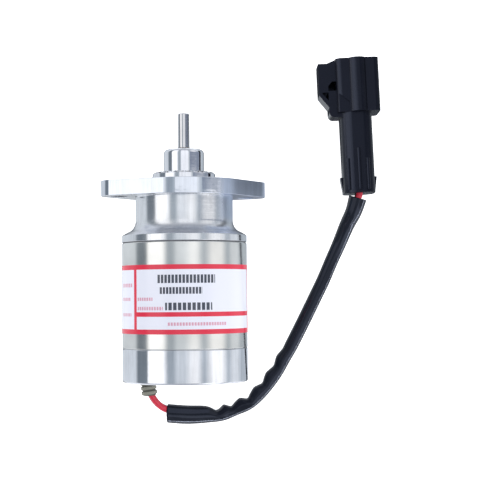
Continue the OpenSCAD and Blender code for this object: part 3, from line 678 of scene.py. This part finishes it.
class ACTUATOR_OT_leads(bpy.types.Operator):
    """Lays the soft sleeve and the two leads, from the grommet to the connector"""

    bl_idname = "actuator.leads"
    bl_label = "Leads and sleeve"

    def execute(self, context):
        settings = context.scene.actuator_leads
        sleeve = self.sleeve(settings)
        self.lead("red_wire", 1, settings.red, "red_insulation", "red_lead", settings, sleeve)
        self.lead("black_wire", -1, settings.black, "black_insulation", "black_lead", settings, sleeve)
        return {"FINISHED"}

    def sleeve(self, settings):
        stations, sizes = sleeve_middle()
        bm = bmesh.new()
        frames = []
        for (along, centre, side, up, way), size in zip(stations, sizes):
            dip = sum(d * math.exp(-abs((along - s) / w) ** 1.6) for s, d, w in SLEEVE_WRINKLES)
            width = size.x - dip
            height = size.y - 0.3 * max(dip, 0)
            seat = Matrix((side, up, way)).transposed().to_4x4()
            seat.translation = (centre + side * dip / 2) * MM
            frames.append(seat @ Matrix.Diagonal((width * MM / 2, height * MM / 2, MM, 1)))
        ring = bmesh.ops.create_circle(bm, segments=36, radius=1)["verts"]
        # The two leads press the sleeve into a rounded box, with a faint seam along its top
        for vert in ring:
            reach = abs(vert.co.x) ** SLEEVE_SQUARE + abs(vert.co.y) ** SLEEVE_SQUARE
            vert.co /= reach ** (1 / SLEEVE_SQUARE)
            vert.co *= SLEEVE_SEAM if vert.co.y > 0.995 else 1
        bmesh.ops.transform(bm, matrix=frames[0], verts=ring)
        edges = list({e for v in ring for e in v.link_edges})
        for before, after in zip(frames, frames[1:]):
            made = bmesh.ops.extrude_edge_only(bm, edges=edges)["geom"]
            ring = [g for g in made if isinstance(g, bmesh.types.BMVert)]
            edges = [g for g in made if isinstance(g, bmesh.types.BMEdge) and g.is_boundary]
            bmesh.ops.transform(bm, matrix=after @ before.inverted(), verts=ring)
        bmesh.ops.recalc_face_normals(bm, faces=bm.faces)
        piece = shown_piece(bm, "lead_sleeving", 50)
        wall = piece.modifiers.new("Wall", "SOLIDIFY")
        wall.thickness = settings.sleeve_wall
        wall.offset = -1
        # Black plasticised vinyl: glossy and soft, with faint ripples
        vinyl = grained(
            "black_vinyl", settings.sleeve, rough=0.14, grain_mm=2.5, depth_mm=0.05,
            sockets={"IOR": 1.44, "Specular Tint": linear(COOL_GLOSS)},
        )
        dress(piece, vinyl, "housing")
        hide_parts("lead_sleeve")
        light_only("sleeve_strip", (piece,))
        return piece

    def lead(self, name, side, colour, slot, node, settings, sleeve):
        line = self.lead_line(side)
        curve = bpy.data.curves.new(name, "CURVE")
        curve.dimensions = "3D"
        curve.bevel_depth = settings.lead_diameter / 2
        curve.bevel_resolution = 5
        curve.use_fill_caps = True
        spline = curve.splines.new("POLY")
        spline.points.add(len(line) - 1)
        for point, place in zip(spline.points, line):
            point.co = (*(place * MM), 1)
        spline.use_smooth = True
        piece = bpy.data.objects.new(name, curve)
        bpy.context.scene.collection.objects.link(piece)
        # Extruded vinyl insulation: soft gloss, evenly coloured
        vinyl = grained(
            "vinyl_" + name, colour, rough=0.35, grain_mm=0.8, depth_mm=0.01, sockets={"IOR": 1.53}
        )
        dress(piece, vinyl, "housing")
        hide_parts(node)

    def lead_line(self, side):
        """The line of one lead in mm; side is 1 for the upper lead and -1 for the lower one."""
        stations, sizes = sleeve_middle()
        # Just over half a lead's diameter, so that the two don't touch
        least_lift = 1.31
        inside = []
        for (along, centre, across, up, way), size in zip(stations, sizes):
            # In the mouth the leads lie to the inside of the bend, and 19 mm on they have settled on its
            # outside. From 60 to 80 mm along they come back to the middle.
            settled = 1 - (1 - min(along / 19, 1)) ** 2
            aside = -1.55 + 2.05 * settled - 0.5 * smooth_step(along, 60, 80)
            lift = size.y / 2 - 1.7 - 0.35 * (1 - settled)
            inside.append(centre + across * aside + up * side * max(least_lift, lift))
        start = SNOUT_END + UP * side * SNOUT_HALF_PITCH - SNOUT_WAY * LEAD_INSIDE
        back = CONNECTOR_BACK + UP * side * SEAL_HALF_PITCH
        mouth = inside[0] - (inside[1] - inside[0]).normalized() * 4
        # The lower lead hangs a little to the left, under the upper one
        hang = Vector((-0.5, -0.4, 0)) if side < 0 else Vector()
        leave = start + SNOUT_WAY * 5.4 + hang
        first = interpolate_bezier(start, leave, mouth + hang, inside[0], 14)
        final = straight_bend(inside[-1], stations[-1][4], back, CONNECTOR_WAY, 6)
        seal = back + CONNECTOR_WAY * SEAL_DEPTH
        return first + inside[1:] + final[1:] + [seal]


class ACTUATOR_OT_body(bpy.types.Operator):
    """Eases and finishes the flange, the nose, the tube, the gasket and the end cap"""

    bl_idname = "actuator.body"
    bl_label = "Body"

    def execute(self, context):
        settings = context.scene.actuator_metal
        # Machined aluminium: bright, with visible turning rings
        plain = settings.aluminium
        # The plate is milled smooth, and satin on the right. The flare is satin too, and the rim less so.
        # The plate's colour is a painted cool reflection, and darker on the right as painted shade.
        zones = (
            # Painted cool reflection: the plate is bluer than the plain aluminium
            ("Y", -6.2, -5.8, 0.04, linear("#e2e7f0")),
            # Painted shade: the right side is darker and bluer still
            ("X", 12.5, 16.5, 0.34, linear("#d2dcee")),
            ("Y", -13.5, -17.5, 0.28, plain),
            ("Y", -20.4, -21, 0.15, plain),
        )
        turned = turned_metal(
            "turned_aluminium", plain, rough=0.15, line_mm=0.7, depth_mm=0.003, zones=zones
        )
        flange = eased_copy("mount_flange", "flange_body", settings.ease)
        dress(flange, turned, "housing")
        # Fine-turned aluminium, polished: mirror-like with hardly any rings
        polished = turned_metal(
            "polished_aluminium", settings.polished, rough=0.08, line_mm=0.5, depth_mm=0.002
        )
        nose = eased_copy("nose_guide", "nose_collar", settings.ease, reshape=self.nose_edges)
        dress(nose, polished, "housing")
        cap = eased_copy("end_cap", "rear_cap", settings.ease)
        dress(cap, polished, "housing")
        # Zinc plate on drawn steel: satin and slightly warm, with a faint grain
        zinc = grained(
            "zinc_plate", settings.zinc, rough=0.17, grain_mm=0.7, depth_mm=0.003,
            sockets={"Metallic": 1.0},
        )
        tube = eased_copy("housing_tube", "tube_shell", FINE_EASE)
        dress(tube, zinc, "housing")
        # Compressed fibre gasket: dark and matt
        fibre = grained(
            "fibre_gasket", linear("#707277"), rough=0.8, grain_mm=0.4, depth_mm=0.01, sockets={"IOR": 1.5}
        )
        dress(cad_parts["seam_gasket"], fibre)
        return {"FINISHED"}

    def nose_edges(self, bm):
        """Turns the collar's bevel smaller and the nose's lip rounder than in the solid."""
        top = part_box("nose_guide")[1].y
        for vert in bm.verts:
            radius = math.hypot(vert.co.x, vert.co.z)
            wanted = radius
            if abs(vert.co.y - COLLAR_TOP) < TINY and abs(radius - COLLAR_BEVEL_R) < TINY:
                wanted = COLLAR_R - COLLAR_EDGE
            elif abs(vert.co.y - COLLAR_SHOULDER) < TINY and abs(radius - COLLAR_R) < TINY:
                vert.co.y = COLLAR_TOP - COLLAR_EDGE
            elif vert.co.y > top - LIP_ROUND - TINY and radius > NOSE_R - LIP_ROUND - TINY:
                wanted = NOSE_R + (radius - NOSE_R) * LIP_SHOWN / LIP_ROUND
                vert.co.y = top + (vert.co.y - top) * LIP_SHOWN / LIP_ROUND
            vert.co.x *= wanted / max(radius, TINY)
            vert.co.z *= wanted / max(radius, TINY)


class ACTUATOR_OT_label(bpy.types.Operator):
    """Prints the label: white film with red bands and plain filled fields"""

    bl_idname = "actuator.label"
    bl_label = "Label"

    def execute(self, context):
        settings = context.scene.actuator_label
        piece = eased_copy("rating_label", "printed_label", 0)
        # Printed polyester film: white with a soft gloss, and flat inks
        material, tree, shader = bare_material("printed_film", {"Roughness": 0.16, "IOR": 1.5})
        axes = add(tree, "SeparateXYZ", {0: add(tree, "TexCoord").outputs["Object"]})
        angle = add(tree, "Math", {0: axes.outputs["X"], 1: axes.outputs["Z"]}, operation="ARCTAN2")
        paint = settings.film
        for left, right, bottom, top, pitch, ink in self.fields(settings):
            limits = [
                (angle.outputs[0], math.radians(left), math.radians(right)),
                (axes.outputs["Y"], bottom * MM, top * MM),
            ]
            if pitch:
                # A row of equal blocks, with a gap of 0.28 of their pitch
                step = math.radians(pitch)
                cell = add(tree, "Math", {0: angle.outputs[0], 1: 0.0, 2: step}, operation="WRAP")
                limits.append((cell.outputs[0], 0.14 * step, 0.86 * step))
            field = 1.0
            for place, low, high in limits:
                inside = add(
                    tree, "Math", {0: place, 1: (low + high) / 2, 2: (high - low) / 2}, operation="COMPARE"
                )
                both = add(tree, "Math", {0: inside.outputs[0], 1: field}, operation="MULTIPLY")
                field = both.outputs[0]
            mixed = add(tree, "Mix", {0: field, 6: paint, 7: ink}, data_type="RGBA")
            paint = mixed.outputs[2]
        link(tree, paint, shader, "Base Color")
        dress(piece, material, "housing")
        return {"FINISHED"}

    def fields(self, settings):
        """Inked fields: left and right edge in degrees from the top, lower and upper edge in mm, the pitch
        of their blocks in degrees, or zero for a solid field, and the ink."""
        low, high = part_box("rating_label")
        bottom = low.y / MM
        top = high.y / MM
        band = settings.band / MM
        bar = math.degrees(settings.bar_angle)
        ink = settings.ink
        dark = settings.dark_ink
        pale = settings.pale_ink
        # Just past the film's two ends, and the lower edge of the band across it
        left = -136
        right = 86
        middle = bottom + 6.5
        return (
            (left, right, top - band, top + 1, 0, ink),
            (left, right, bottom - 1, bottom + band, 0, ink),
            (bar, right, middle, middle + band * 0.95, 0, ink),
            (bar - 1.8, bar + 1.8, bottom, top, 0, ink),
            (80, right, bottom, top, 0, ink),
            (-22, 30, top - 6.9, top - 3.8, 3.2, dark),
            (-20, 18, top - 10.9, top - 8.4, 2.9, dark),
            (-15, 27, top - 16.9, top - 14.1, 4.2, dark),
            (-44, -27, top - 13.4, top - 12.2, 2.6, pale),
            (-44, -17, top - 16.9, top - 15.6, 2.6, pale),
            (-13, 42, bottom + 3.2, bottom + 4.4, 2.6, pale),
            (-72, -51, top - 8.3, top - 6.9, 3.2, pale),
            (-72, -54, top - 13.4, top - 12.2, 3.2, pale),
            (-72, -53, bottom + 6.6, bottom + 7.8, 3.2, pale),
        )


class ACTUATOR_OT_grommet(bpy.types.Operator):
    """Eases and finishes the rubber grommet"""

    bl_idname = "actuator.grommet"
    bl_label = "Grommet"

    def execute(self, context):
        settings = context.scene.actuator_leads
        piece = eased_copy("lead_grommet", "wire_grommet", SMALL_EASE)
        dress(piece, self.rubber(settings.grommet), "housing")
        return {"FINISHED"}

    def rubber(self, colour):
        # Moulded natural rubber: matt and greyish, with painted shade in the grooves between the ribs and
        # their crests painted lighter
        material, tree, shader = bare_material("grommet_rubber", {"Roughness": 0.65, "IOR": 1.52})
        place = add(tree, "TexCoord").outputs["Object"]
        away = add(tree, "VectorMath", {0: place, 1: SNOUT_END * MM}, operation="SUBTRACT")
        along = add(tree, "VectorMath", {0: away.outputs[0], 1: SNOUT_WAY}, operation="DOT_PRODUCT")
        shifted = add(tree, "Math", {0: along.outputs["Value"], 1: 0.16 * MM}, operation="ADD")
        from_groove = add(
            tree, "Math", {0: shifted.outputs[0], 1: RIB_STEP * MM / 2}, operation="PINGPONG"
        )
        # Painted shade: the colour darkens towards each groove and lightens on the crests of the ribs
        tone = add(
            tree, "MapRange", {0: from_groove.outputs[0], 1: 0.2 * MM, 2: 0.55 * MM, 3: 0.4, 4: 1.1}
        )
        paint = add(tree, "VectorMath", {0: colour[:3], "Scale": tone.outputs[0]}, operation="SCALE")
        grain = add(tree, "TexNoise", {"Vector": place, "Scale": 1 / (0.6 * MM), "Detail": 3.0})
        bump = add(
            tree, "Bump", {"Height": grain.outputs["Fac"], "Strength": 0.5, "Distance": 0.03 * MM}
        )
        link(tree, paint.outputs[0], shader, "Base Color")
        link(tree, bump.outputs[0], shader, "Normal")
        return material


class ACTUATOR_OT_rod(bpy.types.Operator):
    """Finishes the moving rod: the shaft, the plunger and its retaining ring"""

    bl_idname = "actuator.rod"
    bl_label = "Rod"

    def execute(self, context):
        settings = context.scene.actuator_metal
        # Ground steel: grey, with fine rings from the grinding wheel
        ground = turned_metal("ground_steel", settings.shaft, rough=0.08, line_mm=0.6, depth_mm=0.001)
        shaft = eased_copy("output_shaft", "push_rod", FINE_EASE)
        dress(shaft, ground, "rod")
        # Soft iron: turned and darker
        iron = turned_metal("soft_iron_plunger", settings.iron, rough=0.32, line_mm=0.8, depth_mm=0.006)
        dress(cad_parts["plunger"], iron)
        dress(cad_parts["plunger_clip"], ground)
        return {"FINISHED"}


class ACTUATOR_OT_solenoid(bpy.types.Operator):
    """Finishes the pieces inside the tube"""

    bl_idname = "actuator.solenoid"
    bl_label = "Solenoid"

    def execute(self, context):
        settings = context.scene.actuator_metal
        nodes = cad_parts
        # Soft iron, as the plunger's: turned and darker
        iron = turned_metal("soft_iron_pole", settings.iron, rough=0.32, line_mm=0.8, depth_mm=0.006)
        dress(nodes["front_plate"], iron)
        dress(nodes["pole_piece"], iron)
        # Sintered bronze: warm and satin, with an open grain
        bronze = grained(
            "sintered_bronze", linear("#b08a4e"), rough=0.42, grain_mm=0.3, depth_mm=0.01,
            sockets={"Metallic": 1.0},
        )
        dress(nodes["front_bush"], bronze)
        dress(nodes["rear_bush"], bronze)
        # Drawn brass: yellow, with a soft gloss
        brass = turned_metal("drawn_brass", linear("#d9b65f"), rough=0.22, line_mm=0.7, depth_mm=0.003)
        dress(nodes["core_tube"], brass)
        dress(nodes["pole_shim"], brass)
        # Glass-filled nylon in its natural colour: cream and dull
        nylon = grained(
            "natural_nylon", linear("#e4dfcd"), rough=0.5, grain_mm=0.5, depth_mm=0.01,
            sockets={"IOR": 1.53},
        )
        dress(nodes["coil_bobbin"], nylon)
        # Nitrile rubber bumper: black and matt
        rubber = grained(
            "nitrile_rubber", linear("#1d1e20"), rough=0.75, grain_mm=0.5, depth_mm=0.02,
            sockets={"IOR": 1.52},
        )
        dress(nodes["bumper_washer"], rubber)
        dress(nodes["coil_winding"], self.winding())
        self.spring()
        return {"FINISHED"}

    def winding(self):
        # Enamelled copper wire, wound turn beside turn: brown-red, with a ripple of round turns and
        # painted shade between them
        wire_mm = 0.45
        material, tree, shader = bare_material("enamelled_copper", {"Metallic": 0.9, "Roughness": 0.3})
        place = add(tree, "TexCoord").outputs["Object"]
        # One band of the wave texture is a twentieth of a full turn long
        turns = add(
            tree, "TexWave", {"Vector": place, "Scale": math.tau / 20 / (wire_mm * MM)},
            bands_direction="Y",
        )
        # Painted shade: dark brown between the turns, light copper on their crowns
        tone = add(tree, "ValToRGB", {0: turns.outputs["Fac"]})
        tone.color_ramp.elements[0].color = linear("#5e2a14")
        tone.color_ramp.elements[1].color = linear("#b4683c")
        bump = add(
            tree, "Bump", {"Height": turns.outputs["Fac"], "Strength": 0.8, "Distance": 0.1 * MM}
        )
        link(tree, tone.outputs[0], shader, "Base Color")
        link(tree, bump.outputs[0], shader, "Normal")
        return material

    def spring(self):
        """Return spring, which shortens on the real part as the rod is pulled in; here it is a copy of the
        solid with a finish and a mesh of its own.
        """
        piece = eased_copy("return_spring", "rod_spring", 0)
        # Patented steel wire: dark grey with a drawn gloss
        wire = grained(
            "spring_wire", linear("#9c9da0"), rough=0.3, grain_mm=0.4, depth_mm=0.003,
            sockets={"Metallic": 1.0},
        )
        dress(piece, wire, "housing")
        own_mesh(piece)


class ACTUATOR_PT_panel(bpy.types.Panel):
    """Lists the settings and the steps"""

    bl_idname = "ACTUATOR_PT_panel"
    bl_label = "Governor Actuator"
    bl_space_type = "VIEW_3D"
    bl_region_type = "UI"
    bl_category = "Actuator"

    def draw(self, context):
        for step in STEPS:
            self.layout.operator(step.bl_idname)
        for name, group in SETTINGS.items():
            box = self.layout.box()
            box.label(text=group.__doc__)
            for key in group.__annotations__:
                box.prop(getattr(context.scene, name), key)


SETTINGS = {
    "actuator_stage": StageSettings,
    "actuator_metal": MetalSettings,
    "actuator_label": LabelSettings,
    "actuator_leads": LeadSettings,
    "actuator_connector": ConnectorSettings,
}
STEPS = (
    ACTUATOR_OT_stage,
    ACTUATOR_OT_connector,
    ACTUATOR_OT_leads,
    ACTUATOR_OT_body,
    ACTUATOR_OT_label,
    ACTUATOR_OT_grommet,
    ACTUATOR_OT_rod,
    ACTUATOR_OT_solenoid,
)


def register():
    for kind in (*SETTINGS.values(), *STEPS, ACTUATOR_PT_panel):
        bpy.utils.register_class(kind)
    for name, group in SETTINGS.items():
        setattr(bpy.types.Scene, name, PointerProperty(type=group))


def unregister():
    for name in SETTINGS:
        delattr(bpy.types.Scene, name)
    for kind in reversed((*SETTINGS.values(), *STEPS, ACTUATOR_PT_panel)):
        bpy.utils.unregister_class(kind)


def main():
    register()
    bpy.ops.actuator.stage()
    bpy.ops.actuator.connector()
    bpy.ops.actuator.leads()
    bpy.ops.actuator.body()
    bpy.ops.actuator.label()
    bpy.ops.actuator.grommet()
    bpy.ops.actuator.rod()
    bpy.ops.actuator.solenoid()
    bpy.context.view_layer.update()


if __name__ == "__main__":
    main()
